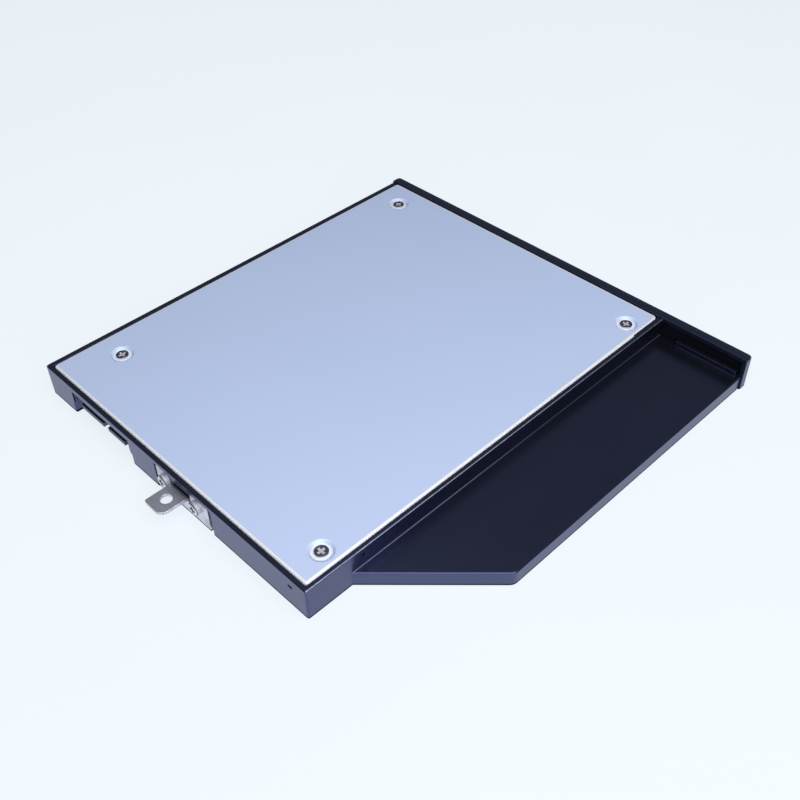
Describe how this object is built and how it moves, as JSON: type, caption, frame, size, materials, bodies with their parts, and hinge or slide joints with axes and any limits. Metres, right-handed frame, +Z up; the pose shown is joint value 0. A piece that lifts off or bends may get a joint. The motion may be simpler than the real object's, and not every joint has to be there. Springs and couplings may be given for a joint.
{
  "type": "laptop drive caddy",
  "caption": "Slim drive caddy for a laptop's optical bay: black moulded tray with a low cut-corner wing, screwed silver cover plate, front bezel, rear plug and drilled bracket.",
  "frame": {"origin": "middle of the outline on the plane of the underside", "axes": "+Z up through the cover plate, +Y towards the rear wall with the plug and the bracket, -X towards the low wing"},
  "size_m": [0.129, 0.1362, 0.0098],
  "materials": {
    "black_moulding": "fine moulded semi-gloss",
    "cover_sheet": "satin",
    "bezel_plastic": "fine texture",
    "bracket_steel": "plain zinc",
    "screw_steel": "nickel",
    "insert_brass": "turned",
    "board_laminate": "solder mask",
    "connector_plastic": "moulded",
    "contact_metal": "gold flash",
    "clip_steel": "tinned",
    "capacitor_body": "moulded",
    "ceramic_body": "ceramic",
    "resistor_body": "glazed",
    "pad_foam": "foam"
  },
  "bodies": {
    "root": {"frame": "black_moulding", "cover_plate": "cover_sheet", "front_bezel": "bezel_plastic", "rear_bracket": "bracket_steel", "cover_screws": "screw_steel", "cover_inserts": "insert_brass", "bracket_screws": "screw_steel", "bracket_inserts": "insert_brass", "board_screws": "screw_steel", "adapter_board": "board_laminate", "host_plug": "connector_plastic", "host_plug_contacts": "contact_metal", "host_plug_clips": "clip_steel", "drive_socket": "connector_plastic", "drive_socket_contacts": "contact_metal", "drive_socket_clips": "clip_steel", "bulk_capacitors": "capacitor_body", "small_capacitors": "ceramic_body", "small_resistors": "resistor_body", "drive_stop": "black_moulding", "drive_pads": "pad_foam"}
  },
  "joints": []
}
